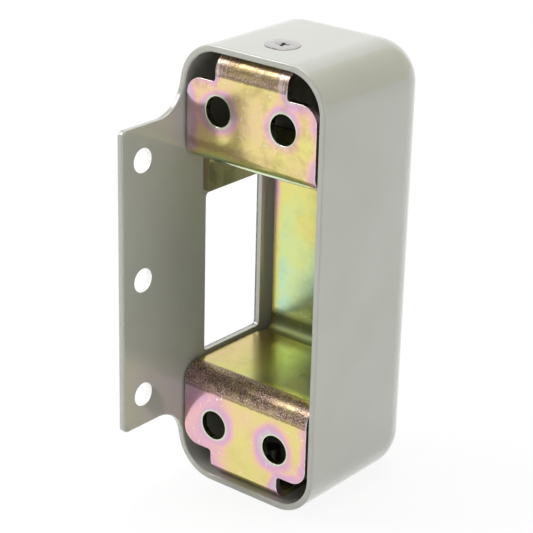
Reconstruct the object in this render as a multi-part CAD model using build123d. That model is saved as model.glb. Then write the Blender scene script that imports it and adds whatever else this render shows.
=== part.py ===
"""Surface-mounted box strike for a rim latch: a painted shell over a folded steel bracket.

The origin is the centre of the four fixing holes, on the mounting plane. X runs across the
shell, away from the latch side wall. Y runs into the shell from the mounting plane, and the
side flange reaches forward of that plane. Z is up. All sizes are in millimetres.
"""
from build123d import *
import os
from math import sqrt

# the shell
height = 100.0  # overall height of the shell
width = 38.2  # overall width of the shell
depth = 37.2  # from the mounting plane to the back face
wall = 1.5  # sheet thickness of the shell
corner_r = 9.6  # outside radius of the shell's corners and of the rolled edges round the back
rim_edge_r = 0.4  # rounding along both sides of the rim and round the flange

# the flange: the latch side wall, carried forward of the rim
flange_reach = 19.0  # how far it stands in front of the mounting plane
flange_shoulder = 15.8  # from the ends of the shell to the ends of the flange
flange_corner_r = 1.5  # radius of its two free corners
blend_r = 8.0  # hollow radius where it runs into the rim
flange_hole_d = 5.3  # clearance holes for the three side screws
flange_hole_edge = 6.1  # from the free edge to the line of holes
flange_hole_end = 7.5  # from the ends of the flange to the outer holes

# the bracket: one folded strip, tongue, foot, shelf, web, shelf, foot and tongue
sheet = 1.5  # sheet thickness
bend_r = 2.5  # inside radius of the bends
side_gap = 0.5  # clearance to the side walls of the shell
web_gap = 5.4  # clearance behind the web
roll_gap = 0.9  # clearance between the web's sides and the rolled edges
foot_height = 26.0  # from the end of the shell to the shelf face beside the latch
shoulder_drop = 6.1  # from the inside of the shell to the shoulders of the foot
shoulder_r = 3.8  # radius of the shoulders
foot_hole_d = 6.6  # clearance holes for the fixing screws
foot_hole_pitch = 17.2  # spacing of the two holes in a foot
foot_hole_drop = 6.3  # from the shoulders to the line of holes
tongue_margin = 0.1  # from the start of the shell's corners to the edges of the tongue
tongue_reach = 13.5  # from the mounting plane to the end of the tongue
notch_r = 0.8  # radius in the corners beside the tongue
relief_run = 5.0  # length over which the shelf edges taper in towards the web

# the latch window in the side wall
window_front = 7.0  # from the mounting plane to its front edge
window_length = 19.0  # its size along the depth
window_sill = 0.8  # its lower edge, above the face of the lower shelf
window_drop = 9.8  # its upper edge, below the face of the upper shelf
window_corner_r = 1.0

# the leaf folded down from the upper shelf, which closes the top of the latch space
leaf_set = 2.0  # from the end of the foot's bend to the leaf
leaf_length = 12.3  # its size along the depth
leaf_side = 0.1  # clearance between it and the side wall
leaf_gap = 1.0  # its lower edge, above the upper edge of the window
leaf_slot = 0.9  # slots cut into the shelf at both ends of its bend
leaf_corner_r = 0.3

# the two countersunk screws that hold the shell on the bracket
screw_d = 4.0
screw_length = 8.0
screw_back = 10.0  # from the mounting plane to the screws
head_d = 7.5
head_proud = 0.15  # how far the head stands out of the shell
recess_width = 3.8  # cross recess, over its wings
recess_wing = 0.85  # thickness of each wing
recess_depth = 1.3
point_chamfer = 0.6  # chamfer at the tip of the screw
entry_chamfer = 0.35  # chamfer at the mouth of the tapped hole

# places that follow from the sizes above
left = -width / 2
tongue_width = width - 2 * corner_r - 2 * tongue_margin
inner_half = height / 2 - wall
flange_half = height / 2 - flange_shoulder
shelf_half = height / 2 - foot_height
shoulder_half = inner_half - shoulder_drop
hole_half = shoulder_half - foot_hole_drop
bend_out = bend_r + sheet
strip_left = left + wall + side_gap
strip_width = -2 * strip_left
leaf_left = left + wall + leaf_side
web_front = depth - wall - web_gap - sheet
web_back = web_front + sheet
window_low = -shelf_half + window_sill
window_high = shelf_half - window_drop
leaf_front = bend_out + leaf_set
leaf_low = window_high + leaf_gap


def across(y):
    """A sketch plane parallel to the rim: local x along X, local y along Z, facing forward."""
    return Plane(origin=(0, y, 0), x_dir=(1, 0, 0), z_dir=(0, -1, 0))


def along(x):
    """A sketch plane parallel to the side walls: local x along Y, local y along Z."""
    return Plane(origin=(x, 0, 0), x_dir=(0, 1, 0), z_dir=(1, 0, 0))


def screw_places():
    """The two cover screws: local z points out of the shell, from its outer face."""
    top = Plane(origin=(0, screw_back, height / 2), x_dir=(1, 0, 0), z_dir=(0, 0, 1))
    low = Plane(origin=(0, screw_back, -height / 2), x_dir=(1, 0, 0), z_dir=(0, 0, -1))
    return [top.location, low.location]


def rolled_block(inset):
    """The shell's outside as a solid, moved in by inset on every wall."""
    outline = RectangleRounded(width - 2 * inset, height - 2 * inset, corner_r - inset)
    block = extrude(across(depth - inset) * outline, depth - inset + flange_reach)
    back = block.faces().sort_by(Axis.Y)[-1]
    return fillet(back.edges(), corner_r - inset)


def flange_profile():
    """Side view of what stays in front of the mounting plane, run into the rim at both ends."""
    plate = Pos(-flange_reach / 2, 0) * Rectangle(flange_reach, 2 * flange_half)
    free = [v for v in plate.vertices() if v.X < -flange_reach / 2]
    plate = fillet(free, flange_corner_r)
    upper = Pos(-blend_r / 2, flange_half + blend_r / 2) * Rectangle(blend_r, blend_r)
    upper -= Pos(-blend_r, flange_half + blend_r) * Circle(blend_r)
    return plate + upper + mirror(upper, about=Plane.XZ)


def window_opening():
    """The latch window as a block through the side wall."""
    mid = Pos(window_front + window_length / 2, (window_low + window_high) / 2)
    shape = RectangleRounded(window_length, window_high - window_low, window_corner_r)
    return extrude(along(left) * mid * shape, 2 * wall, both=True)


def flange_holes():
    """The three holes for the side screws, spread evenly between the end margins."""
    pitch = flange_half - flange_hole_end
    line = Pos(flange_hole_edge - flange_reach, 0)
    row = Sketch() + [line * at * Circle(flange_hole_d / 2) for at in GridLocations(1, pitch, 1, 3)]
    return extrude(along(left) * row, 2 * wall, both=True)


def head_cone():
    """The ninety degree cone shared by a cover screw's head and its seat."""
    deep = (head_d - screw_d) / 2
    return Pos(0, 0, -deep / 2) * Cone(screw_d / 2, head_d / 2, deep)


def cut_edges(shell):
    """The long edges on both sides of the sheet where the shell ends in front."""
    ahead = [e for e in shell.edges() if e.center().Y < 0.01]
    return [e for e in ahead if e.length > 1.2 * wall]


def make_cover():
    """The pressed shell, open at the mounting plane, with flange, window and screw seats."""
    shell = rolled_block(0) - rolled_block(wall)
    front = Pos(0, -flange_reach, 0) * Box(2 * width, 2 * flange_reach, 2 * height)
    shell -= front - extrude(along(left) * flange_profile(), corner_r)
    shell = fillet(cut_edges(shell), rim_edge_r)
    shell -= window_opening()
    shell -= flange_holes()
    for place in screw_places():
        shell -= place * (head_cone() + Pos(0, 0, -wall) * Cylinder(screw_d / 2, 2 * wall))
    return shell


def folded_strip():
    """The bracket's side view, drawn along its outer face and thickened, at full width."""
    face_line = FilletPolyline(
        (tongue_reach, -inner_half),
        (0, -inner_half),
        (0, -shelf_half),
        (web_front, -shelf_half),
        (web_front, shelf_half),
        (0, shelf_half),
        (0, inner_half),
        (tongue_reach, inner_half),
        radius=[bend_out, bend_out, bend_r, bend_r, bend_out, bend_out],
    )
    section = make_face(offset(face_line, amount=sheet, side=Side.RIGHT))
    return extrude(along(strip_left) * section, strip_width)


def strip_outline():
    """Front view of the strip: square-shouldered feet with a tongue at each end."""
    body = Rectangle(strip_width, 2 * shoulder_half)
    body = fillet(body.vertices(), shoulder_r)
    body += Rectangle(tongue_width, 2 * height)
    inner = [v for v in body.vertices() if abs(abs(v.X) - tongue_width / 2) < 0.01]
    inner = [v for v in inner if abs(abs(v.Y) - shoulder_half) < 0.01]
    body = fillet(inner, notch_r)
    return extrude(across(web_back + sheet) * body, web_back + 2 * sheet)


def rear_reliefs():
    """Blocks that taper the strip's rear corners in, clear of the shell's rolled edges."""
    roll = corner_r - wall
    past = max(web_back - (depth - corner_r), 0)
    clear_x = left + wall + roll - sqrt(roll**2 - past**2) + roll_gap
    inset = max(clear_x - strip_left, 0.01)
    start = web_front - bend_r - relief_run
    cut = Polyline(
        (-wall, start),
        (0, start),
        (inset, start + relief_run),
        (inset, web_back + sheet),
        (-wall, web_back + sheet),
        close=True,
    )
    block = extrude(Plane.XY * Pos(strip_left, 0) * make_face(cut), height / 2, both=True)
    return block + mirror(block, about=Plane.YZ)


def leaf():
    """The leaf and its bend, carried on the upper shelf's edge beside the latch."""
    top = shelf_half + sheet
    face_line = FilletPolyline(
        (leaf_left, leaf_low),
        (leaf_left, top),
        (leaf_left + bend_out + sheet, top),
        radius=bend_out,
    )
    section = make_face(offset(face_line, amount=sheet, side=Side.RIGHT))
    block = extrude(across(leaf_front + leaf_length) * section, leaf_length)
    low = block.faces().sort_by(Axis.Z)[0]
    return fillet(low.edges().filter_by(Axis.X), leaf_corner_r)


def leaf_cutout():
    """What is taken out of the upper shelf's edge for the leaf's bend and its two slots."""
    long = leaf_length + 2 * leaf_slot
    mid = (strip_left + bend_out / 2, leaf_front + leaf_length / 2, shelf_half + sheet / 2)
    return Pos(*mid) * Box(bend_out, long, 2 * sheet)


def make_bracket():
    """The folded strip, trimmed to its feet and tongues, drilled, and given its leaf."""
    strip = folded_strip() & strip_outline()
    strip -= rear_reliefs()
    strip -= leaf_cutout()
    strip += leaf()
    holes = GridLocations(foot_hole_pitch, 2 * hole_half, 2, 2)
    for at in holes:
        strip -= across(sheet / 2) * at * Cylinder(foot_hole_d / 2, 2 * sheet)
    for place in screw_places():
        bore = Pos(0, 0, -wall - sheet) * Cylinder(screw_d / 2, 3 * sheet)
        mouth_r = screw_d / 2 + entry_chamfer
        mouth = Pos(0, 0, -wall - entry_chamfer / 2)
        strip -= place * (bore + mouth * Cone(screw_d / 2, mouth_r, entry_chamfer))
    return strip


def make_screw():
    """A countersunk screw with a cross recess, its head's seat at the origin, axis along z."""
    long = screw_length - head_proud
    shank = Pos(0, 0, -long / 2) * Cylinder(screw_d / 2, long)
    tip = shank.edges().sort_by(Axis.Z)[0]
    shank = chamfer(tip, point_chamfer)
    rim = Pos(0, 0, head_proud / 2) * Cylinder(head_d / 2, head_proud)
    screw = shank + head_cone() + rim
    wing = Box(recess_width, recess_wing, 2 * recess_depth)
    cross = Pos(0, 0, head_proud) * (wing + Rot(0, 0, 90) * wing)
    return screw - cross


def main():
    """Builds the four pieces and writes one file for each."""
    top, low = screw_places()
    screw = make_screw()
    pieces = {
        "cover": make_cover(),
        "bracket": make_bracket(),
        "cover_screw_top": top * screw,
        "cover_screw_bottom": low * screw,
    }
    os.makedirs("parts", exist_ok=True)
    for name, piece in pieces.items():
        export_step(piece, f"parts/{name}.step")
        size = piece.bounding_box().size
        print(f"{name}: {len(piece.solids())} solid, {piece.volume:.1f} mm3, {size}")


main()
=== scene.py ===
# %% [markdown]
# # A box strike for a rim latch
# A rim latch sits on the face of a door, and its tongue shoots into a box on the frame. This is
# that box: a painted steel shell, screwed over a folded and plated bracket that carries the load.
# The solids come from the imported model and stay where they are. What this file adds is what a
# camera sees: the rounded edges of cut sheet, real screws, paint, plating, light and a floor.

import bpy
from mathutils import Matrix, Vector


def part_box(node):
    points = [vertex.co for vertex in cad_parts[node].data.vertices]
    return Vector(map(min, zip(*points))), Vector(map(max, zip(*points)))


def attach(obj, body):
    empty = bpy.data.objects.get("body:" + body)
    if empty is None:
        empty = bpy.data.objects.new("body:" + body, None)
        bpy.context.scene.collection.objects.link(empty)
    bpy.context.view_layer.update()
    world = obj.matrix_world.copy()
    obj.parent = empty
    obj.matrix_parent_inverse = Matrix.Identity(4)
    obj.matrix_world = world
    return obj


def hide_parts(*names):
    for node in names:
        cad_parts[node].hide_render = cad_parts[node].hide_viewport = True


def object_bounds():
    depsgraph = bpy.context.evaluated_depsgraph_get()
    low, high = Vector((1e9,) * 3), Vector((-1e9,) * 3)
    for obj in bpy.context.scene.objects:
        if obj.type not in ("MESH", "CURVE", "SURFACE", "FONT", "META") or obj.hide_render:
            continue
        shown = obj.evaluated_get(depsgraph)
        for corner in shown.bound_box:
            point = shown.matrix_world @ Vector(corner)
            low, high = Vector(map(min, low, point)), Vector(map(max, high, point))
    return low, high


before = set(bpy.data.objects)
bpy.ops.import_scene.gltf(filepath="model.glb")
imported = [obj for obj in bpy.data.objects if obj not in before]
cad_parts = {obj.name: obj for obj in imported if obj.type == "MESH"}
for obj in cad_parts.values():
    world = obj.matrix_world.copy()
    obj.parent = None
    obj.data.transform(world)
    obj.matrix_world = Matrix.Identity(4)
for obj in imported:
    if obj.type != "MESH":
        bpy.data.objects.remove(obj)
cad_low, cad_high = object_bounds()
print("pieces of the frame:", sorted(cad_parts))

# %% [markdown]
# Everything below is Blender's own Python. Lengths are written in millimetres, as on a maker's
# drawing, and the factor mm turns them into Blender's metres.

# %% The tools of this lesson
from math import cos, pi, radians, sin

import bpy
from mathutils import Matrix, Vector

mm = 0.001
print("CAD box in mm:", [round(v / mm, 1) for v in (*cad_low, *cad_high)])

# %% [markdown]
# Colours are written as sRGB hex values, as a paint chart gives them, and Blender's shaders want
# them linear. One function turns them. A second one adds a node, sets it and plugs it in: every
# material below is only a list of such calls, so the lists read like a recipe.
#
# Two kinds of node do most of the work. A MapRange takes a value (input 0), a start and an end
# (1 and 2) and what it gives there (3 and 4, or else 0 and 1). A Mix takes a share (0) and two
# numbers (2 and 3) or two colours (6 and 7), and gives its colour on output 2.


# %% Colour and node helpers
def linear(code, alpha=1.0):
    """The linear colour of an sRGB hex code such as "#BEC0B6"."""
    parts = [int(code[i:i + 2], 16) / 255 for i in (1, 3, 5)]
    turned = [p / 12.92 if p <= 0.04045 else ((p + 0.055) / 1.055) ** 2.4 for p in parts]
    return (*turned, alpha)


def add(tree, kind, inputs=None, **settings):
    """Adds a node; each input is a value, another node's output, or a node for its first one."""
    node = tree.nodes.new("ShaderNode" + kind)
    for name, value in settings.items():
        setattr(node, name, value)
    for name, value in (inputs or {}).items():
        if isinstance(value, bpy.types.Node):
            value = value.outputs[0]
        if isinstance(value, bpy.types.NodeSocket):
            tree.links.new(value, node.inputs[name])
        else:
            node.inputs[name].default_value = value
    return node


print("paint chart grey in linear light:", [round(v, 3) for v in linear("#BEC0B6")])

# %% [markdown]
# The photograph was taken from the front, to the right and above, on a long lens: the object's
# upright edges stay nearly parallel. The camera was worked out from edges of known size. It looks
# at a point inside the shell and leans a little, because the real one was held a little askew.

# %% The camera
look_at = Vector((-6.85, 15.0, -2.31)) * mm
azimuth, elevation, roll = radians(38.98), radians(22.53), radians(1.43)
distance, lens, sensor = 405.99 * mm, 125.5, 36.0

backward = Vector((sin(azimuth) * cos(elevation), -cos(azimuth) * cos(elevation), sin(elevation)))
level_right = Vector((cos(azimuth), sin(azimuth), 0))
level_up = backward.cross(level_right)
right = level_right * cos(roll) + level_up * sin(roll)
up = level_up * cos(roll) - level_right * sin(roll)

camera_data = bpy.data.cameras.new("studio_camera")
camera_data.lens, camera_data.sensor_width = lens, sensor
camera_data.clip_start, camera_data.clip_end = 0.01, 50
camera = bpy.data.objects.new("studio_camera", camera_data)
bpy.context.collection.objects.link(camera)
turn = Matrix((right, up, backward)).transposed().to_4x4()
camera.matrix_world = Matrix.Translation(look_at + backward * distance) @ turn
bpy.context.scene.camera = camera
print("camera stands at", [round(v, 3) for v in camera.matrix_world.translation])

# %% [markdown]
# A product photograph on white is lit softly from all round, with more light from above and from
# the left front, so that the top is the palest face and the right side the darkest. Large panels
# overhead and at the left front do most of that, and two weaker ones at the front and at the right
# back help. Each stands about a metre off and looks at the object. The places are in metres.


# %% Soft light from four panels
def light_panel(name, place, size, power):
    """A square soft light that looks at the object."""
    data = bpy.data.lights.new(name, "AREA")
    data.shape, data.size, data.energy = "SQUARE", size, power
    lamp = bpy.data.objects.new(name, data)
    bpy.context.collection.objects.link(lamp)
    lamp.location = place
    lamp.rotation_euler = (look_at - Vector(place)).to_track_quat("-Z", "Y").to_euler()
    return lamp


panels = [light_panel("top_panel", place=(-0.1, 0.2, 0.95), size=0.6, power=5.1),
          light_panel("front_panel", place=(0.15, -0.95, 0.55), size=0.7, power=0.6),
          light_panel("left_front_panel", place=(-0.72, -0.4, 0.8), size=0.55, power=8.2),
          light_panel("right_back_panel", place=(0.95, 0.35, 0.25), size=0.6, power=1.9)]
print("panels:", [panel.name for panel in panels])

# %% [markdown]
# The world fills in the rest of the light, evenly. Gloss needs something to show, though, so
# glossy surfaces see a room as a studio has it: dimmer overhead and on the photographer's side,
# with a pale wall at the back and a warmer wall behind on the right, which gives the shell's upper
# right corner its warm band with crisp borders. A wall is a range of directions: the three parts
# of a direction say how far it points right, back and up.

# %% The room that glossy surfaces see
dim_strength, warm_strength = 0.3, 0.75
world = bpy.data.worlds.new("white_studio")
bpy.context.scene.world = world
world.use_nodes = True
sky = world.node_tree
sky.nodes.clear()
heading = add(sky, "TexCoord").outputs["Generated"]
rightwards, backwards, upwards = add(sky, "SeparateXYZ", {0: heading}).outputs
overhead = add(sky, "Math", {0: backwards, 1: -0.25, 2: upwards}, operation="MULTIPLY_ADD")
room = add(sky, "MapRange", {0: overhead, 1: 0.22, 2: 0.5, 3: 1.0, 4: dim_strength})
at_back = add(sky, "MapRange", {0: backwards, 1: 0.3, 2: 0.5})
pale_wall = add(sky, "MapRange", {0: rightwards, 1: -0.52, 2: -0.42})
pale_wall = add(sky, "Math", {0: pale_wall, 1: at_back}, operation="MULTIPLY")
room = add(sky, "Mix", {0: pale_wall, 2: room, 3: 1.0}, data_type="FLOAT")
on_right = add(sky, "MapRange", {0: rightwards, 1: -0.12, 2: -0.04})
above_horizon = add(sky, "MapRange", {0: upwards, 1: 0.0, 2: 0.06})
warm_wall = add(sky, "Math", {0: on_right, 1: above_horizon}, operation="MULTIPLY")
warm_wall = add(sky, "Math", {0: warm_wall, 1: at_back}, operation="MULTIPLY")
room = add(sky, "Mix", {0: warm_wall, 2: room, 3: warm_strength}, data_type="FLOAT")
wall_tint = add(sky, "Mix", {0: warm_wall, 6: linear("#FFFFFF"), 7: linear("#FFFDD2")}, data_type="RGBA")
print("the dim part of the room gives", dim_strength, "of white")

# %% [markdown]
# The camera sees plain white behind the object. That white, and the room above, are only for the
# rays that look: Light Path tells them from the rays that carry light to the object, and those
# meet the even fill.


# %% White to the eye, an even fill for the rest
def white_to_the_eye(tree):
    """1 for camera, glossy and transmission rays, 0 for the rays that carry light about."""
    path = add(tree, "LightPath")
    looks = add(tree, "Math", {0: path.outputs["Is Camera Ray"], 1: path.outputs["Is Glossy Ray"]},
                operation="MAXIMUM")
    return add(tree, "Math", {0: looks, 1: path.outputs["Is Transmission Ray"]}, operation="MAXIMUM")


fill_strength = 0.41
by_eye = add(sky, "LightPath").outputs["Is Camera Ray"]
seen_strength = add(sky, "Mix", {0: by_eye, 2: room, 3: 1.0}, data_type="FLOAT")
seen_tint = add(sky, "Mix", {0: by_eye, 6: wall_tint.outputs[2], 7: linear("#FFFFFF")}, data_type="RGBA")
seen = add(sky, "Background", {"Color": seen_tint.outputs[2], "Strength": seen_strength})
fill = add(sky, "Background", {"Color": linear("#FFFFFF"), "Strength": fill_strength})
both = add(sky, "MixShader", {0: white_to_the_eye(sky), 1: fill, 2: seen})
add(sky, "OutputWorld", {"Surface": both})
bpy.context.scene.view_settings.view_transform = "Standard"
print("the world fills at", fill_strength, "of white")

# %% [markdown]
# The strike stands upright on a plain white table. A real table has edges and legs, but they
# wouldn't show, so this one is a single face, grown wide and divided in edit mode.


# %% The floor
def start_fresh():
    """Nothing selected and no object in edit mode, so an operator acts on the new piece only."""
    if bpy.context.mode != "OBJECT":
        bpy.ops.object.mode_set(mode="OBJECT")
    bpy.ops.object.select_all(action="DESELECT")


table_wide = 8.0
start_fresh()
bpy.ops.mesh.primitive_plane_add(size=1.0, location=(0, 0, cad_low.z))
floor = bpy.context.object
floor.name = "table_top"
bpy.ops.object.mode_set(mode="EDIT")
bpy.ops.mesh.select_all(action="SELECT")
bpy.ops.transform.resize(value=(table_wide, table_wide, 1))
bpy.ops.mesh.subdivide(number_cuts=3)
bpy.ops.object.mode_set(mode="OBJECT")
bpy.ops.object.transform_apply(location=True, rotation=True, scale=True)
print("floor at", round(cad_low.z / mm, 2), "mm")

# %% [markdown]
# The table is covered in white laminate. Lit as it is, it would come out grey and end in an edge
# against the background. Part of what the camera sees of it is therefore plain white, as the
# background is, and the rest is its own lit surface, which keeps the object's soft shadow.


# %% The table's laminate
def new_material(name):
    """An empty node material, ready for a recipe, and its node tree."""
    material = bpy.data.materials.new(name)
    material.use_nodes = True
    material.node_tree.nodes.clear()
    return material, material.node_tree


glow_share = 0.9
table_white, tree = new_material("white_laminate_table")
matt = add(tree, "BsdfDiffuse", {"Color": linear("#F4F4F2")})
glow = add(tree, "Emission", {"Color": linear("#FFFFFF"), "Strength": 1.0})
share = add(tree, "Math", {0: white_to_the_eye(tree), 1: glow_share}, operation="MULTIPLY")
mixed = add(tree, "MixShader", {0: share, 1: matt, 2: glow})
add(tree, "OutputMaterial", {"Surface": mixed})
floor.data.materials.append(table_white)
print("table:", table_white.name, "of which", glow_share, "is plain white")

# %% [markdown]
# The real shell is pressed from sheet and then painted, and the bracket is blanked, folded and
# plated. Both processes round every cut edge a little, and a rounded edge is what catches the
# light. The solids have sharp edges. They could be modelled afresh, but a copy of a solid keeps all
# its sizes, so each dressed piece starts as one. The copy's loose triangles are merged, flat areas
# are joined into one face, and a bevel modifier rounds only the edges that are sharper than a
# limit, so the rolled surfaces stay as they are. Paint rounds an edge more than plating does, so
# the shell, the first to be dressed, gets the larger radius.


# %% Dress a copy of a solid with rounded edges
def dressed_copy(node, name, edge_round, edge_slot=0):
    """A merged copy of a CAD node whose sharp edges are rounded by edge_round millimetres.

    The rounded edges take the material of edge_slot, for rubbed edges with a painted highlight.
    """
    merge_gap, flat_within, sharper_than, smooth_up_to = 0.0005, 0.4, 40, 32
    start_fresh()
    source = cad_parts[node]
    piece = bpy.data.objects.new(name, source.data.copy())
    bpy.context.collection.objects.link(piece)
    piece.data.name = name
    piece.data.materials.clear()
    for _ in range(edge_slot + 1):
        piece.data.materials.append(None)
    bpy.context.view_layer.objects.active = piece
    piece.select_set(True)
    bpy.ops.object.mode_set(mode="EDIT")
    bpy.ops.mesh.select_all(action="SELECT")
    bpy.ops.mesh.remove_doubles(threshold=merge_gap * mm)
    bpy.ops.mesh.customdata_custom_splitnormals_clear()
    bpy.ops.mesh.dissolve_limited(angle_limit=radians(flat_within), use_dissolve_boundaries=False)
    bpy.ops.object.mode_set(mode="OBJECT")
    bevel = piece.modifiers.new("rounded_edges", "BEVEL")
    bevel.width, bevel.segments = edge_round * mm, 3
    bevel.limit_method, bevel.angle_limit = "ANGLE", radians(sharper_than)
    bevel.use_clamp_overlap = True
    bevel.material = edge_slot
    bpy.ops.object.modifier_apply(modifier=bevel.name)
    bpy.ops.object.shade_smooth_by_angle(angle=radians(smooth_up_to))
    flats = piece.modifiers.new("flats_stay_flat", "WEIGHTED_NORMAL")
    flats.mode, flats.weight, flats.keep_sharp = "FACE_AREA_WITH_ANGLE", 100, True
    bpy.ops.object.modifier_apply(modifier=flats.name)
    return piece


shell = dressed_copy("cover", "shell_painted", edge_round=0.25)
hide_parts("cover")
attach(shell, "root")
print("shell faces:", len(shell.data.polygons))

# %% [markdown]
# The bracket is dressed in the same way. Its film is rubbed off along the cut edges, so the faces
# that the bevel makes take a material slot of their own, which pale zinc with a painted highlight
# will fill.

# %% The bracket's rounded edges
bracket = dressed_copy("bracket", "bracket_plated", edge_round=0.22, edge_slot=1)
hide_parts("bracket")
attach(bracket, "root")
print("bracket faces:", len(bracket.data.polygons))

# %% [markdown]
# Each cover screw is an M4 countersunk screw with a cross recess, bright plated. Only one head
# shows from the front, but both are made, because the object can be turned. A screw is a shape of
# revolution and could be spun from its profile. Drawing it out of a cylinder, as here, has fewer
# steps, and each of them is a size on the drawing. It is made upright at the origin, with the top
# of its cone at z = 0.

# %% The countersunk screw: shank
head_r, shank_r, proud, length = 3.75, 2.0, 0.15, 8.0
cone_deep, neck, rings = head_r - shank_r, 0.1, 72
bottom, top = proud - length, -cone_deep - neck
start_fresh()
bpy.ops.mesh.primitive_cylinder_add(vertices=rings, radius=shank_r * mm, depth=(top - bottom) * mm,
                                    location=(0, 0, (top + bottom) / 2 * mm))
screw = bpy.context.object
bpy.ops.object.transform_apply(location=True, rotation=True, scale=True)
print("shank:", 2 * shank_r, "mm across and", round(top - bottom, 2), "mm long")

# %% [markdown]
# By hand, a face is picked with a click and drawn out with the mouse. In code, a test finds the
# face by its normal and its place. The top face is drawn out four times, for the neck, the cone,
# the thin rim of the head and the rim's rounding, and the bottom face once, for the tip.


# %% The countersunk screw: head and tip
def pick_faces(test):
    """Selects, in edit mode, only the faces that pass the test."""
    bpy.ops.object.mode_set(mode="EDIT")
    bpy.ops.mesh.select_mode(type="FACE")
    bpy.ops.mesh.select_all(action="DESELECT")
    bpy.ops.object.mode_set(mode="OBJECT")
    for face in bpy.context.object.data.polygons:
        face.select = test(face)
    bpy.ops.object.mode_set(mode="EDIT")


def draw_out(test, move, grow=1.0):
    """Extrudes the faces that pass the test by a vector and scales the new end about its middle."""
    pick_faces(test)
    bpy.ops.mesh.extrude_region_move(TRANSFORM_OT_translate={"value": tuple(Vector(move) * mm)})
    bpy.ops.transform.resize(value=(grow, grow, 1))
    bpy.ops.object.mode_set(mode="OBJECT")


def top_face(face):
    """The face that looks straight up at the top of a piece made along Z."""
    highest = max(v.co.z for v in bpy.context.object.data.vertices)
    return face.normal.z > 0.99 and face.center.z > highest - 0.001 * mm


rim_round, rim_share, tip_deep, tip_share = 0.06, 0.985, 0.01, 0.72
draw_out(top_face, (0, 0, neck))
draw_out(top_face, (0, 0, cone_deep), grow=head_r / shank_r)
draw_out(top_face, (0, 0, proud - rim_round))
draw_out(top_face, (0, 0, rim_round), grow=rim_share)
draw_out(lambda face: face.normal.z < -0.99, (0, 0, -tip_deep), grow=tip_share)
print("screw head:", 2 * head_r, "mm across, faces so far:", len(screw.data.polygons))

# %% [markdown]
# A maker strikes the cross recess with one punch. Here two punches cut it, both narrower below.
# The first is the cross: the sides of a small block are drawn out into four arms, and then all its
# points below the middle are drawn in towards the axis.


# %% The cross recess: a punch with four arms
def squeeze_below(share):
    """Draws the points below the middle in towards the axis, so that a punch narrows downwards."""
    bpy.ops.object.mode_set(mode="EDIT")
    bpy.ops.mesh.select_mode(type="VERT")
    bpy.ops.mesh.select_all(action="DESELECT")
    bpy.ops.object.mode_set(mode="OBJECT")
    for corner in bpy.context.object.data.vertices:
        corner.select = corner.co.z < 0
    bpy.ops.object.mode_set(mode="EDIT")
    bpy.ops.transform.resize(value=(share, share, 1), center_override=(0, 0, 0))
    bpy.ops.mesh.select_all(action="SELECT")
    bpy.ops.mesh.normals_make_consistent(inside=False)
    bpy.ops.object.mode_set(mode="OBJECT")


arm, arm_wide, arm_deep, arm_share = 2.15, 0.86, 1.5, 0.42
start_fresh()
bpy.ops.mesh.primitive_cube_add(size=arm_wide * mm, location=(0, 0, 0))
arms = bpy.context.object
bpy.ops.object.mode_set(mode="EDIT")
bpy.ops.mesh.select_mode(type="FACE")
bpy.ops.mesh.select_all(action="SELECT")
bpy.ops.transform.resize(value=(1, 1, 2 * arm_deep / arm_wide))
bpy.ops.object.mode_set(mode="OBJECT")
bpy.ops.object.transform_apply(location=True, rotation=True, scale=True)
for axis in (Vector((1, 0, 0)), Vector((-1, 0, 0)), Vector((0, 1, 0)), Vector((0, -1, 0))):
    draw_out(lambda face: face.normal.dot(axis) > 0.99 and face.center.cross(axis).length < 0.1 * mm,
             axis * (arm - arm_wide / 2))
squeeze_below(arm_share)
print("cross punch:", 2 * arm, "mm over its arms, each", arm_wide, "mm wide")

# %% [markdown]
# The second punch is the round middle of the cross, which a driver's tip fills: a cylinder,
# narrowed below in the same way. Boolean modifiers then cut both out of the head, and a small bevel
# rounds the edges that they leave, as a struck edge is.

# %% The cross recess: its round middle, and the cut
middle_r, middle_tall, middle_share = 1.05, 3.4, 0.35
struck_round, sharper_than, smooth_up_to = 0.06, 35, 30
start_fresh()
bpy.ops.mesh.primitive_cylinder_add(vertices=24, radius=middle_r * mm, depth=middle_tall * mm,
                                    location=(0, 0, 0))
round_middle = bpy.context.object
bpy.ops.object.transform_apply(location=True, rotation=True, scale=True)
squeeze_below(middle_share)

for punch in (arms, round_middle):
    punch.location.z = proud * mm
    start_fresh()
    bpy.context.view_layer.objects.active = screw
    screw.select_set(True)
    cut = screw.modifiers.new("recess", "BOOLEAN")
    cut.operation, cut.object, cut.solver = "DIFFERENCE", punch, "EXACT"
    bpy.ops.object.modifier_apply(modifier=cut.name)
    bpy.data.objects.remove(punch)
bevel = screw.modifiers.new("soft_edges", "BEVEL")
bevel.width, bevel.segments = struck_round * mm, 2
bevel.limit_method, bevel.angle_limit = "ANGLE", radians(sharper_than)
bpy.ops.object.modifier_apply(modifier=bevel.name)
bpy.ops.object.shade_smooth_by_angle(angle=radians(smooth_up_to))
print("screw faces with its recess:", len(screw.data.polygons))

# %% [markdown]
# The thread is rolled on the real screw. It could be cut here as a groove, but that would leave
# many thin faces. A three-sided ridge is cleaner: a Screw modifier sweeps it in a helix round the
# shank, its two open ends are filled, and it is joined to the screw.


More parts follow.
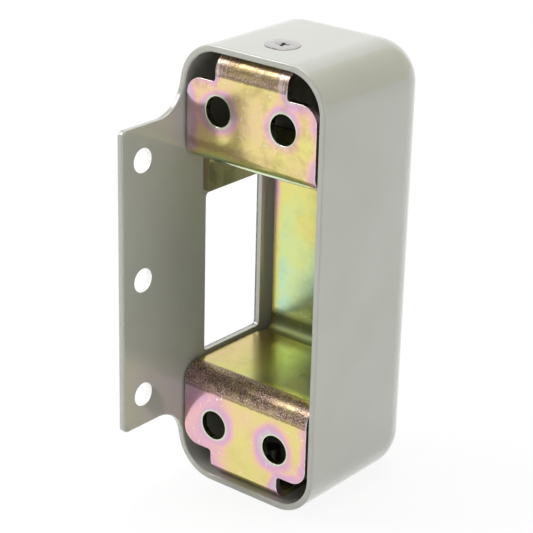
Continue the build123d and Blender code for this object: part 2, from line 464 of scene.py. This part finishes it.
# %% The countersunk screw: thread
def thread():
    """A ridge of the M4 thread's pitch, swept round the shank from the tip to under the head."""
    start_fresh()
    pitch, high, sunk, above_tip, turns, steps = 0.7, 0.22, 0.12, 0.75, 7, 36
    low = proud - length + above_tip
    bpy.ops.mesh.primitive_circle_add(vertices=3, radius=high * mm, fill_type="NOTHING",
                                      location=((shank_r - sunk) * mm, 0, low * mm),
                                      rotation=(pi / 2, 0, 0))
    ridge = bpy.context.object
    bpy.ops.object.transform_apply(location=True, rotation=True, scale=True)
    sweep = ridge.modifiers.new("helix", "SCREW")
    sweep.axis, sweep.angle, sweep.screw_offset = "Z", 2 * pi, pitch * mm
    sweep.iterations, sweep.steps, sweep.render_steps = turns, steps, steps
    sweep.use_normal_calculate = True
    bpy.ops.object.modifier_apply(modifier=sweep.name)
    bpy.ops.object.mode_set(mode="EDIT")
    bpy.ops.mesh.select_mode(type="EDGE")
    bpy.ops.mesh.select_all(action="DESELECT")
    bpy.ops.mesh.select_non_manifold()
    bpy.ops.mesh.edge_face_add()
    bpy.ops.mesh.select_all(action="SELECT")
    bpy.ops.mesh.normals_make_consistent(inside=False)
    bpy.ops.object.mode_set(mode="OBJECT")
    return ridge


ridge = thread()
start_fresh()
ridge.select_set(True)
screw.select_set(True)
bpy.context.view_layer.objects.active = screw
bpy.ops.object.join()
print("screw faces with its thread:", len(screw.data.polygons))

# %% [markdown]
# The screw was finished along Z at the origin. Now it is duplicated, and each of the two meshes is
# placed where its solid is: the top one stands upright in the top wall, and the bottom one is
# turned over. Both are turned a little on their axis, as the driver left them.


# %% Two screws, each with its own mesh
driver_turn = 24


def place_screw(piece, node, turned):
    """Moves a screw's mesh to where its node is, head outwards, and lets it stand for the node."""
    low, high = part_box(node)
    middle = (low + high) / 2
    spin = Matrix.Rotation(radians(driver_turn), 4, "Z")
    flip = Matrix.Rotation(pi if turned else 0.0, 4, "X")
    seat_z = low.z + proud * mm if turned else high.z - proud * mm
    piece.data.transform(Matrix.Translation((middle.x, middle.y, seat_z)) @ flip @ spin)
    piece.name = piece.data.name = node + "_plated"
    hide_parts(node)
    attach(piece, "root")
    print(piece.name, "faces:", len(piece.data.polygons))


start_fresh()
screw.select_set(True)
bpy.context.view_layer.objects.active = screw
bpy.ops.object.duplicate(linked=False)
low_screw = bpy.context.object
place_screw(screw, "cover_screw_top", turned=False)
place_screw(low_screw, "cover_screw_bottom", turned=True)

# %% [markdown]
# The paint is a stoved enamel in a pale warm grey, sprayed on pressed sheet. Where the spray lay a
# little thicker it is a shade paler, in soft clouds. The clouds could be painted by hand, but a noise
# of the right size goes round every corner without a seam. Its scale comes from a real size: worked
# out on places in millimetres, a noise of scale 1 / 22 has clouds about 22 mm across.


# %% Stoved enamel: the clouds
def place_in_mm(tree):
    """Where a point lies, in millimetres: one vector, and its three parts."""
    spot = add(tree, "TexCoord").outputs["Object"]
    place = add(tree, "VectorMath", {0: spot, 1: (1 / mm, 1 / mm, 1 / mm)}, operation="MULTIPLY")
    return place, add(tree, "SeparateXYZ", {0: place}).outputs


def fill_ramp(ramp, stops):
    """Gives a colour ramp node its stops, a list of positions and hex codes."""
    elements = ramp.color_ramp.elements
    while len(elements) < len(stops):
        elements.new(0.5)
    for element, (position, code) in zip(elements, stops):
        element.position, element.color = position, linear(code)


paint_cloud_mm = 22
enamel, tree = new_material("stoved_enamel_warm_grey")
place, (x, y, z) = place_in_mm(tree)
paint_cloud = add(tree, "TexNoise", {"Vector": place, "Scale": 1 / paint_cloud_mm, "Detail": 2.0})
tint = add(tree, "ValToRGB", {0: paint_cloud})
fill_ramp(tint, [(0.35, "#ABACA2"), (0.65, "#B0B1A8")])
print("paint clouds are", paint_cloud_mm, "mm across")

# %% [markdown]
# Round the punched window the rounded outer edge of the cut reflects the dark, and that dark is
# painted on as a thin line: a painted reflection. That line could be a strip of its own, but it has
# no thickness, so it is drawn in the paint: how far a point lies outside the window is measured
# along and up, the larger of the two is 0 on the window's edge, and the line is where it is next
# to 0 on the outermost skin.

# %% Stoved enamel: the painted dark reflection round the window
window_y, window_z, window_deep, window_tall = 16.5, -4.5, 19.0, 37.4
line_wide, side_x, break_mm = 0.2, -18.6, 1.2
outside = []
for part, middle, size in ((y, window_y, window_deep), (z, window_z, window_tall)):
    off_middle = add(tree, "Math", {0: part, 1: middle}, operation="SUBTRACT")
    off_middle = add(tree, "Math", {0: off_middle}, operation="ABSOLUTE")
    outside.append(add(tree, "Math", {0: off_middle, 1: size / 2}, operation="SUBTRACT"))
past_edge = add(tree, "Math", {0: outside[0], 1: outside[1]}, operation="MAXIMUM")
at_edge = add(tree, "MapRange", {0: past_edge, 1: line_wide, 2: line_wide / 2})
outermost = add(tree, "MapRange", {0: x, 1: side_x, 2: side_x - 0.1})
painted_window_edge_dark = add(tree, "Math", {0: at_edge, 1: outermost}, operation="MULTIPLY")
uneven = add(tree, "TexNoise", {"Vector": place, "Scale": 1 / break_mm, "Detail": 2.0})
uneven = add(tree, "MapRange", {0: uneven, 1: 0.3, 2: 0.5, 3: 0.4, 4: 0.85})
painted_window_edge_dark = add(tree, "Math", {0: painted_window_edge_dark, 1: uneven}, operation="MULTIPLY")
# The thin dark line is a painted reflection of the dark on the window's rounded outer edge.
colour = add(tree, "Mix", {0: painted_window_edge_dark, 6: tint, 7: linear("#4A4B47")}, data_type="RGBA").outputs[2]
print("window from", window_y - window_deep / 2, "to", window_y + window_deep / 2, "mm behind the rim")

# %% [markdown]
# The walls of the three punched holes in the flange are painted almost white. This is painted
# light: it makes them as bright as the white seen through the holes. The holes go straight through
# along X, so a wall is what lies within a hole's radius of its axis, measured in Y and Z only.

# %% Stoved enamel: painted light on the walls of the three punched holes
flange_y, flange_pitch, flange_hole_r = -12.9, 26.7, 2.65
wall_fades = (0.06, 0.03)
flat = add(tree, "VectorMath", {0: place, 1: (0, 1, 1)}, operation="MULTIPLY")
axis_gaps = [
    add(tree, "VectorMath", {0: flat, 1: (0, flange_y, level)}, operation="DISTANCE").outputs["Value"]
    for level in (flange_pitch, -flange_pitch, 0)]
nearest = axis_gaps[0]
for axis_gap in axis_gaps[1:]:
    nearest = add(tree, "Math", {0: nearest, 1: axis_gap}, operation="MINIMUM")
in_hole = add(tree, "MapRange", {0: nearest, 1: flange_hole_r + wall_fades[0],
                                 2: flange_hole_r + wall_fades[1]})
# The near white on the hole walls is painted light.
colour = add(tree, "Mix", {0: in_hole, 6: colour, 7: linear("#FAFAF8")}, data_type="RGBA").outputs[2]
print("pale walls within", flange_hole_r, "mm of each hole's axis")

# %% [markdown]
# A stoved enamel flows out before it sets, so it has a clear, even gloss with the faintest dimples.
# One glossy layer would give either the soft sheen or the crisp reflections. A real finish has
# both, so a thin clear coat lies over a softer base.

# %% Stoved enamel: gloss and dimples
haze_mm, dimple_mm = 14, 0.9
haze = add(tree, "TexNoise", {"Vector": place, "Scale": 1 / haze_mm, "Detail": 2.0})
gloss = add(tree, "MapRange", {0: haze, 1: 0.3, 2: 0.7, 3: 0.2, 4: 0.24})
dimple = add(tree, "TexNoise", {"Vector": place, "Scale": 1 / dimple_mm, "Detail": 1.0})
bump = add(tree, "Bump", {"Height": dimple, "Strength": 0.1, "Distance": 0.015 * mm})
paint = add(tree, "BsdfPrincipled", {"Base Color": colour, "Roughness": gloss, "Normal": bump,
                                     "Coat Weight": 0.9, "Coat Roughness": 0.05})
add(tree, "OutputMaterial", {"Surface": paint})
shell.data.materials[0] = enamel
print("paint:", enamel.name, "with dimples of", dimple_mm, "mm")

# %% [markdown]
# The bracket is zinc plated and then yellow chromated. The chromate is a film so thin that its
# colour comes from its thickness, as on oil: yellow over most of it, pink and lilac where it drained
# away from holes and edges, green where it lies thicker. Colours could be painted patch by patch.
# Here a number that stands for the film's thickness is worked out from the place on the part, and
# one colour ramp turns it into the colour, so neighbouring colours meet in the order that a real
# film gives them. The bracket is alike on both sides and at both ends, so x and z are also taken
# without their sign.

# %% Yellow chromate on zinc: where on the part a point lies
cloud_mm, fine_mm = 13, 2.4
grain_mm = 0.3  # worn zinc has a finer grain: this is about as fine as the render shows
plated, tree = new_material("yellow_chromate_on_zinc")
place, (x, y, z) = place_in_mm(tree)
far_x = add(tree, "Math", {0: x}, operation="ABSOLUTE")
far_z = add(tree, "Math", {0: z}, operation="ABSOLUTE")
cloud = add(tree, "TexNoise", {"Vector": place, "Scale": 1 / cloud_mm, "Detail": 2.0})
fine = add(tree, "TexNoise", {"Vector": place, "Scale": 1 / fine_mm, "Detail": 5.0})
grain = add(tree, "TexNoise", {"Vector": place, "Scale": 1 / grain_mm, "Detail": 3.0})
on_foot = add(tree, "MapRange", {0: y, 1: 3.4, 2: 1.6}, interpolation_type="SMOOTHSTEP")
on_web = add(tree, "MapRange", {0: y, 1: 25.5, 2: 28.5}, interpolation_type="SMOOTHSTEP")
upper_half = add(tree, "MapRange", {0: z, 1: 10.0, 2: 20.0})
lower_half = add(tree, "MapRange", {0: z, 1: -10.0, 2: -20.0})
print("patches of film are about", cloud_mm, "mm across")

# %% [markdown]
# The film drains off every edge while the part hangs in the bath, and leaves a ragged ring round
# each hole, a little narrower on the upper foot. The four holes repeat on both sides and at both
# ends, so one distance in x and z without their sign serves all four.

# %% Yellow chromate on zinc: how near a hole a point lies
hole_x, hole_z, hole_r = 8.6, 36.1, 3.3
folded = add(tree, "CombineXYZ", {0: far_x, 2: far_z})
centre_gap = add(tree, "VectorMath", {0: folded, 1: (hole_x, 0, hole_z)}, operation="DISTANCE")
rim_gap = add(tree, "Math", {0: centre_gap.outputs["Value"], 1: hole_r}, operation="SUBTRACT")
ragged = add(tree, "Math", {0: cloud, 1: 3.0, 2: rim_gap}, operation="MULTIPLY_ADD")
ragged = add(tree, "Math", {0: upper_half, 1: 0.9, 2: ragged}, operation="MULTIPLY_ADD")
near_hole = add(tree, "MapRange", {0: ragged, 1: 5.4, 2: 1.8}, interpolation_type="SMOOTHSTEP")
print("the film drains round four holes", 2 * hole_r, "mm across")

# %% [markdown]
# A foot's outline drains as its holes do, at its two sides and its end. Its end is an edge only
# beside the tongue. Where the tongue is, the sheet carries on round a bend, so inside the tongue's
# width the distance is made larger. On the web only the two sides are edges. The lower foot is
# made pinker towards the left as well, where the shell's rim shades it: partly drained film and
# partly painted shade.

# %% Yellow chromate on zinc: how near an edge a point lies
half_wide, half_tall, tongue_half, inner_half = 17.1, 42.4, 9.4, 16.0
side_gap = add(tree, "Math", {0: half_wide, 1: far_x}, operation="SUBTRACT")
end_gap = add(tree, "Math", {0: half_tall, 1: far_z}, operation="SUBTRACT")
in_tongue = add(tree, "Math", {0: tongue_half, 1: far_x}, operation="SUBTRACT")
in_tongue = add(tree, "Math", {0: in_tongue, 1: 0.0}, operation="MAXIMUM")
end_gap = add(tree, "Math", {0: in_tongue, 1: 2.0, 2: end_gap}, operation="MULTIPLY_ADD")
edge_gap = add(tree, "Math", {0: side_gap, 1: end_gap}, operation="MINIMUM")
edge_gap = add(tree, "Math", {0: cloud, 1: 7.0, 2: edge_gap}, operation="MULTIPLY_ADD")
near_edge = add(tree, "MapRange", {0: edge_gap, 1: 7.0, 2: 3.0, 4: 0.9}, interpolation_type="SMOOTHSTEP")
inner_gap = add(tree, "Math", {0: inner_half, 1: far_x}, operation="SUBTRACT")
inner_gap = add(tree, "Math", {0: fine, 1: 2.0, 2: inner_gap}, operation="MULTIPLY_ADD")
near_side = add(tree, "MapRange", {0: inner_gap, 1: 3.6, 2: 1.2, 4: 0.9}, interpolation_type="SMOOTHSTEP")
near_side = add(tree, "Math", {0: near_side, 1: on_web}, operation="MULTIPLY")
# Towards the left the lower foot is pinker: partly drained film, partly painted shade of the shell's rim.
lower_left = add(tree, "MapRange", {0: x, 1: -2.0, 2: -8.5, 4: 0.75}, interpolation_type="SMOOTHSTEP")
lower_left = add(tree, "Math", {0: lower_left, 1: lower_half}, operation="MULTIPLY")
print("a foot is", 2 * half_wide, "mm wide and its tongue", 2 * tongue_half, "mm")

# %% [markdown]
# Now the thickness itself, a number near 0 where the film is thinnest and near 1 where it is
# thickest. On the feet it lies in clouds, and it gathers at the lower bend of the upper foot. On
# the shelves it grows towards the right, and on the web downwards. Where it has drained it is thin.

# %% Yellow chromate on zinc: the film's thickness
at_rim = add(tree, "Math", {0: near_hole, 1: near_edge}, operation="MAXIMUM")
at_rim = add(tree, "Math", {0: at_rim, 1: lower_left}, operation="MAXIMUM")
drained = add(tree, "Mix", {0: on_foot, 2: near_side, 3: at_rim}, data_type="FLOAT")
inwards = add(tree, "MapRange", {0: y, 1: 4.0, 2: 6.5})
on_shelf = add(tree, "Math", {0: inwards, 1: on_web}, operation="SUBTRACT")
sideways = add(tree, "MapRange", {0: x, 1: -15.0, 2: 12.0, 3: 0.4, 4: 0.8})
downwards = add(tree, "MapRange", {0: z, 1: 12.0, 2: -9.0, 3: 0.02, 4: 0.34})
gathered = add(tree, "MapRange", {0: z, 1: 27.2, 2: 24.4, 3: -0.08, 4: 0.44})
gathered = add(tree, "Math", {0: gathered, 1: upper_half}, operation="MULTIPLY")
film = add(tree, "MapRange", {0: cloud, 1: 0.3, 2: 0.7, 3: 0.34, 4: 0.6})
film = add(tree, "Mix", {0: on_shelf, 2: film, 3: sideways}, data_type="FLOAT")
film = add(tree, "Math", {0: on_web, 1: downwards, 2: film}, operation="MULTIPLY_ADD")
film = add(tree, "Math", {0: on_foot, 1: gathered, 2: film}, operation="MULTIPLY_ADD")
film = add(tree, "Math", {0: fine, 1: 0.12, 2: film}, operation="MULTIPLY_ADD")
film = add(tree, "Math", {0: film, 1: 0.06}, operation="SUBTRACT")
film = add(tree, "Math", {0: drained, 1: -0.42, 2: film}, operation="MULTIPLY_ADD")
print("nodes up to the film's thickness:", len(tree.nodes))

# %% [markdown]
# One colour ramp holds the film's colours, from the thinnest to the thickest: lilac, pink, straw,
# yellow, green and olive. A narrow pale ring is left right at each hole, where the punch has turned
# the edge down and the film is thin again.

# %% Yellow chromate on zinc: from thickness to colour
hues = add(tree, "ValToRGB", {0: film})
fill_ramp(hues, [(0.0, "#D9C0D0"), (0.07, "#DDB0CE"), (0.17, "#E8B6C4"), (0.29, "#EFC8AC"),
                 (0.41, "#EBD593"), (0.55, "#E4DE84"), (0.7, "#D4E19A"), (0.84, "#C2E1BA"),
                 (0.93, "#BBDFC6"), (1.0, "#C0CC92")])
at_cut = add(tree, "MapRange", {0: rim_gap, 1: 0.5, 2: 0.22})
colour = add(tree, "Mix", {0: at_cut, 6: hues, 7: linear("#D6E2C4")}, data_type="RGBA").outputs[2]
print("film colours:", len(hues.color_ramp.elements))

# %% [markdown]
# Dull olive patches lie over the film in islands, strongest on the upper foot. A brown streak
# crosses that foot above its lower bend and fades to the right. A noise, cut off near its mean,
# gives the islands. The streak is a level line, made wavy by the fine noise.

# %% Yellow chromate on zinc: olive patches and a brown streak
olive_patch_mm, streak_z = 5, 29.2
olive_patch = add(tree, "TexNoise", {"Vector": place, "Scale": 1 / olive_patch_mm, "Detail": 4.0, "Roughness": 0.65})
olive_patch_strength = add(tree, "MapRange", {0: z, 1: 20.0, 2: 26.0, 3: 0.12, 4: 0.5})
olive_patch = add(tree, "MapRange", {0: olive_patch, 1: 0.48, 2: 0.68, 4: olive_patch_strength})
colour = add(tree, "Mix", {0: olive_patch, 6: colour, 7: linear("#A89A5C")}, data_type="RGBA").outputs[2]

streak = add(tree, "Math", {0: fine, 1: 2.0, 2: z}, operation="MULTIPLY_ADD")
streak = add(tree, "Math", {0: streak, 1: streak_z}, operation="SUBTRACT")
streak = add(tree, "Math", {0: streak}, operation="ABSOLUTE")
streak = add(tree, "MapRange", {0: streak, 1: 1.6, 2: 0.3, 4: 0.5}, interpolation_type="SMOOTHSTEP")
streak = add(tree, "Math", {0: streak, 1: on_foot}, operation="MULTIPLY")
leftwards = add(tree, "MapRange", {0: x, 1: 6.0, 2: -6.0, 3: 0.15})
streak = add(tree, "Math", {0: streak, 1: leftwards}, operation="MULTIPLY")
colour = add(tree, "Mix", {0: streak, 6: colour, 7: linear("#96765A")}, data_type="RGBA").outputs[2]
print("drops", olive_patch_mm, "mm across, and a streak at about", streak_z, "mm")

# %% [markdown]
# In the inner corners, where web and shelves meet, a dark olive is painted in as shade. A soft
# patch of tarnish lies low on the web. The patch is a distance from its middle, with noise added so
# that its rim is ragged.

# %% Yellow chromate on zinc: painted shade in the inner corners, and a tarnished patch
tarnish_x, tarnish_z = 2, -17
by_shelf = add(tree, "MapRange", {0: far_z, 1: 18.6, 2: 20.6, 4: 0.85})
by_web = add(tree, "MapRange", {0: y, 1: 25.6, 2: 26.6})
inner_corner = add(tree, "Math", {0: by_shelf, 1: by_web}, operation="MULTIPLY")
# The dark olive in the inner corners is painted shade.
colour = add(tree, "Mix", {0: inner_corner, 6: colour, 7: linear("#3C3E26")}, data_type="RGBA").outputs[2]

upright = add(tree, "CombineXYZ", {0: x, 2: z})
patch_gap = add(tree, "VectorMath", {0: upright, 1: (tarnish_x, 0, tarnish_z)}, operation="DISTANCE")
patch_gap = add(tree, "Math", {0: fine, 1: 6.0, 2: patch_gap.outputs["Value"]}, operation="MULTIPLY_ADD")
tarnish = add(tree, "MapRange", {0: patch_gap, 1: 18.0, 2: 7.0, 4: 0.7}, interpolation_type="SMOOTHSTEP")
tarnish = add(tree, "Math", {0: tarnish, 1: on_web}, operation="MULTIPLY")
colour = add(tree, "Mix", {0: tarnish, 6: colour, 7: linear("#5A6644")}, data_type="RGBA").outputs[2]
print("tarnish round x", tarnish_x, "and z", tarnish_z, "mm")

# %% [markdown]
# The right part of each shelf is painted dull and brown: painted shade. The leaf, folded down
# inside the left wall, shows through the window. It is painted blue and violet in small blotches,
# so that it shows a painted dark reflection of the inner wall, and its front edge is painted
# brown as painted shadow. Masks made of the place alone find the shelves, the leaf and its edge.

# %% Yellow chromate on zinc: painted shade on the shelf side and the leaf
leaf_x, leaf_z, leaf_front_y = -15.5, 8.0, 6.3
painted_shelf_shade = add(tree, "MapRange", {0: x, 1: -3.0, 2: 6.0, 4: 0.8})
painted_shelf_shade = add(tree, "Math", {0: painted_shelf_shade, 1: on_shelf}, operation="MULTIPLY")
# The dull brown on the right of each shelf is painted shade.
colour = add(tree, "Mix", {0: painted_shelf_shade, 6: colour, 7: linear("#84705A")}, data_type="RGBA").outputs[2]

on_leaf = add(tree, "MapRange", {0: x, 1: leaf_x, 2: leaf_x - 0.6})
on_leaf = add(tree, "Math", {0: on_leaf, 1: on_shelf}, operation="MULTIPLY")
leaf_high = add(tree, "MapRange", {0: z, 1: leaf_z, 2: leaf_z + 7, 4: 0.9})
on_leaf = add(tree, "Math", {0: on_leaf, 1: leaf_high}, operation="MULTIPLY")
blotch = add(tree, "MapRange", {0: fine, 1: 0.44, 2: 0.56})
# The leaf's blues give a painted dark reflection of the inner wall, and its brown front edge is painted
# shadow.
painted_leaf_shade = add(tree, "Mix", {0: blotch, 6: linear("#4C78A8"), 7: linear("#7A8CC8")}, data_type="RGBA")
leaf_front = add(tree, "MapRange", {0: y, 1: leaf_front_y, 2: leaf_front_y - 0.15})
painted_leaf_shade = add(tree, "Mix", {0: leaf_front, 6: painted_leaf_shade.outputs[2], 7: linear("#74685E")}, data_type="RGBA")
colour = add(tree, "Mix", {0: on_leaf, 6: colour, 7: painted_leaf_shade.outputs[2]}, data_type="RGBA").outputs[2]
print("the leaf's colours lie left of x", leaf_x, "mm and above z", leaf_z, "mm")

# %% [markdown]
# The press tool slides over the outside of a bend and wears the film there. The bend over the
# lower foot and the one at the top tongue are the worst: a dark, grainy brown gold. A mask by
# height and depth picks out both, and the grain is put through a colour ramp of its own.

# %% Yellow chromate on zinc: worn bends
low_bend, high_bend, tongue_from = -28.9, -23.6, 43.5
in_front = add(tree, "MapRange", {0: y, 1: 4.7, 2: 4.1})
under_top = add(tree, "MapRange", {0: z, 1: high_bend, 2: high_bend - 0.3})
over_bottom = add(tree, "MapRange", {0: z, 1: low_bend, 2: low_bend + 1.2})
shelf_bend = add(tree, "Math", {0: under_top, 1: over_bottom}, operation="MULTIPLY")
tongue_bend = add(tree, "MapRange", {0: z, 1: tongue_from, 2: tongue_from + 0.6})
bends = add(tree, "Math", {0: shelf_bend, 1: tongue_bend}, operation="MAXIMUM")
bends = add(tree, "Math", {0: bends, 1: in_front}, operation="MULTIPLY")
patchy = add(tree, "MapRange", {0: fine, 1: 0.35, 2: 0.6, 3: 0.7, 4: 1.0})
worn = add(tree, "Math", {0: bends, 1: patchy}, operation="MULTIPLY")
speckle = add(tree, "ValToRGB", {0: grain})
fill_ramp(speckle, [(0.38, "#5C4A3E"), (0.5, "#94796A"), (0.58, "#B79A8C"), (0.66, "#E6D2CC")])
gilt = add(tree, "MapRange", {0: z, 1: 44.2, 2: 45.4, 4: 0.6})
golden = add(tree, "Mix", {0: gilt, 6: speckle, 7: linear("#806C40")}, data_type="RGBA")
colour = add(tree, "Mix", {0: worn, 6: colour, 7: golden.outputs[2]}, data_type="RGBA").outputs[2]
print("bends worn between", low_bend, "and", high_bend, "mm, and above", tongue_from, "mm")

# %% [markdown]
# Where a bend begins, a thin dark line lies along it, broken by the grain. On the tongue, pale
# lines across the bend show where the sheet was stretched. They could be cut in the mesh, but they
# have next to no depth, so a noise that is drawn out the same way gives them.

# %% Yellow chromate on zinc: dark creases and stretch lines
crease_heights, crease_half = (44.3, -27.9), 0.3
wavy = add(tree, "Math", {0: fine, 1: 0.9, 2: z}, operation="MULTIPLY_ADD")
top_crease, low_crease = [
    add(tree, "Math", {0: wavy, 1: height, 2: crease_half}, operation="COMPARE")
    for height in crease_heights]
crease = add(tree, "Math", {0: top_crease, 1: low_crease}, operation="MAXIMUM")
crease = add(tree, "Math", {0: crease, 1: in_front}, operation="MULTIPLY")
broken = add(tree, "MapRange", {0: grain, 1: 0.42, 2: 0.6, 3: 0.1, 4: 0.75})
crease = add(tree, "Math", {0: crease, 1: broken}, operation="MULTIPLY")
colour = add(tree, "Mix", {0: crease, 6: colour, 7: linear("#463C32")}, data_type="RGBA").outputs[2]

drawn_out = add(tree, "Mapping", {0: place, "Scale": (2.2, 0.12, 0.12)})
lines = add(tree, "TexNoise", {"Vector": drawn_out, "Scale": 1.0, "Detail": 2.0})
lines = add(tree, "MapRange", {0: lines, 1: 0.52, 2: 0.64})
sides = add(tree, "MapRange", {0: far_x, 1: 5.5, 2: 8.5, 3: 0.12, 4: 0.8})
lines = add(tree, "Math", {0: lines, 1: sides}, operation="MULTIPLY")
tongue_only = add(tree, "Math", {0: tongue_bend, 1: in_front}, operation="MULTIPLY")
lines = add(tree, "Math", {0: lines, 1: tongue_only}, operation="MULTIPLY")
colour = add(tree, "Mix", {0: lines, 6: colour, 7: linear("#EBD9D2")}, data_type="RGBA").outputs[2]
print("dark creases at", crease_heights, "mm")

# %% [markdown]
# Handling leaves short, fine, curved scratches that shine, most of them on the feet. The borders of
# Voronoi cells on warped coordinates are such curved hairlines, and a second noise lets only a
# short piece of one show here and there.

# %% Yellow chromate on zinc: hairline scratches
warp_mm, scratch_mm, piece_mm = 7, 3.4, 1.5
bowed = add(tree, "TexNoise", {"Vector": place, "Scale": 1 / warp_mm, "Detail": 1.0})
warp = add(tree, "VectorMath", {0: bowed.outputs["Color"], 1: (14, 14, 14)}, operation="MULTIPLY")
warped = add(tree, "VectorMath", {0: place, 1: warp}, operation="ADD")
cells = add(tree, "TexVoronoi", {"Vector": warped, "Scale": 1 / scratch_mm}, feature="DISTANCE_TO_EDGE")
hair = add(tree, "MapRange", {0: cells, 1: 0.018, 2: 0.005})
often = add(tree, "TexNoise", {"Vector": place, "Scale": 1 / piece_mm, "Detail": 1.0})
rare = add(tree, "MapRange", {0: often, 1: 0.6, 2: 0.64})
nicks = add(tree, "Math", {0: hair, 1: rare}, operation="MULTIPLY")
handled = add(tree, "MapRange", {0: on_foot, 3: 0.15})
nicks = add(tree, "Math", {0: nicks, 1: handled}, operation="MULTIPLY")
colour = add(tree, "Mix", {0: nicks, 6: colour, 7: linear("#F4F1EC")}, data_type="RGBA").outputs[2]
print("scratches follow cells", scratch_mm, "mm across")

# %% [markdown]
# Under the film is metal, so the shader's Metallic is 1 and the film's colour tints its reflections.
# The feet were flat against the tool and are the smoothest. The shelves and the web are rougher, the
# worn bends more so, and the corners most. The grain stands out in relief on the worn bends, and
# hardly anywhere else.

# %% Yellow chromate on zinc: the surface
grain_deep = 0.06
rough = add(tree, "MapRange", {0: fine, 1: 0.3, 2: 0.7, 3: 0.13, 4: 0.2})
for mask, more in ((worn, 0.22), (inner_corner, 0.35), (inwards, 0.07)):
    rough = add(tree, "Math", {0: mask, 1: more, 2: rough}, operation="MULTIPLY_ADD")
relief = add(tree, "MapRange", {0: bends, 1: 0.0, 2: 1.0, 3: 0.08, 4: 0.7})
bump = add(tree, "Bump", {"Height": grain, "Strength": relief, "Distance": grain_deep * mm})
metal = add(tree, "BsdfPrincipled", {"Base Color": colour, "Metallic": 1.0, "Roughness": rough,
                                     "Normal": bump})
add(tree, "OutputMaterial", {"Surface": metal})
bracket.data.materials[0] = plated
print("plating:", plated.name)

# %% [markdown]
# On the cut edges the film is rubbed through to the zinc, and the thin pale line there is partly
# that zinc and partly a painted highlight. The bevel gave those faces a material slot of their own,
# so no mask has to find them. The edges of the leaf and of the shelves' left side, in shade behind
# the feet, are painted dark as painted shade.

# %% Bare zinc and a painted highlight on the cut edges
wear_mm, hidden_x, hidden_y = 1.5, -15.4, 4.0
zinc_edge_and_highlight, tree = new_material("rubbed_zinc_edge_and_highlight")
place, (x, y, _) = place_in_mm(tree)
wear = add(tree, "TexNoise", {"Vector": place, "Scale": 1 / wear_mm, "Detail": 3.0})
zinc = add(tree, "ValToRGB", {0: wear})
fill_ramp(zinc, [(0.4, "#DCD2BC"), (0.6, "#F6F4EE")])
on_left = add(tree, "MapRange", {0: x, 1: hidden_x, 2: hidden_x - 0.4})
behind = add(tree, "MapRange", {0: y, 1: hidden_y, 2: hidden_y + 1, 4: 0.85})
painted_edge_shade = add(tree, "Math", {0: on_left, 1: behind}, operation="MULTIPLY")
# Pale zinc here is partly a painted highlight; the dark on the hidden left edges is painted shade.
edge = add(tree, "Mix", {0: painted_edge_shade, 6: zinc, 7: linear("#3E3A34")}, data_type="RGBA").outputs[2]
metal = add(tree, "BsdfPrincipled", {"Base Color": edge, "Metallic": 1.0, "Roughness": 0.24})
add(tree, "OutputMaterial", {"Surface": metal})
bracket.data.materials[1] = zinc_edge_and_highlight
print("edges:", zinc_edge_and_highlight.name, "with wear", wear_mm, "mm across")

# %% [markdown]
# The screws are plated with plain bright zinc: a light, slightly warm metal. The driver has left
# fine marks on the head, the recess is painted dark as shade, and the thread is dulled by the oil
# that the parts were put together with. Both are alike, so one distance from the middle of the
# part, up or down, tells head, recess and thread apart. The recess and the cone under the head
# share their heights, but the cone is hidden in its seat.

# %% Bright zinc on the screws
mark_mm, thread_top, head_top = 0.35, 47.8, 50.13
bright, tree = new_material("bright_zinc_plate")
place, parts = place_in_mm(tree)
height = add(tree, "Math", {0: parts["Z"]}, operation="ABSOLUTE")
marks = add(tree, "TexNoise", {"Vector": place, "Scale": 1 / mark_mm, "Detail": 3.0})
zinc = add(tree, "ValToRGB", {0: marks})
fill_ramp(zinc, [(0.0, "#B6B2B0"), (1.0, "#D6D3D1")])
in_recess = add(tree, "MapRange", {0: height, 1: head_top, 2: head_top - 0.08, 4: 0.85})
on_thread = add(tree, "MapRange", {0: height, 1: thread_top, 2: thread_top - 1})
# The dark in the recess is painted shade.
painted_recess_shade = add(tree, "Mix", {0: in_recess, 6: zinc, 7: linear("#57534F")}, data_type="RGBA").outputs[2]
oiled = add(tree, "Mix", {0: on_thread, 6: painted_recess_shade, 7: linear("#6E6A66")}, data_type="RGBA").outputs[2]
sheen = add(tree, "MapRange", {0: marks, 1: 0.3, 2: 0.7, 3: 0.16, 4: 0.26})
sheen = add(tree, "Math", {0: on_thread, 1: 0.25, 2: sheen}, operation="MULTIPLY_ADD")
bump = add(tree, "Bump", {"Height": marks, "Strength": 0.2, "Distance": 0.02 * mm})
metal = add(tree, "BsdfPrincipled", {"Base Color": oiled, "Metallic": 1.0, "Roughness": sheen,
                                     "Normal": bump})
add(tree, "OutputMaterial", {"Surface": metal})
for piece in (screw, low_screw):
    piece.data.materials.clear()
    piece.data.materials.append(bright)
print("screws:", bright.name)
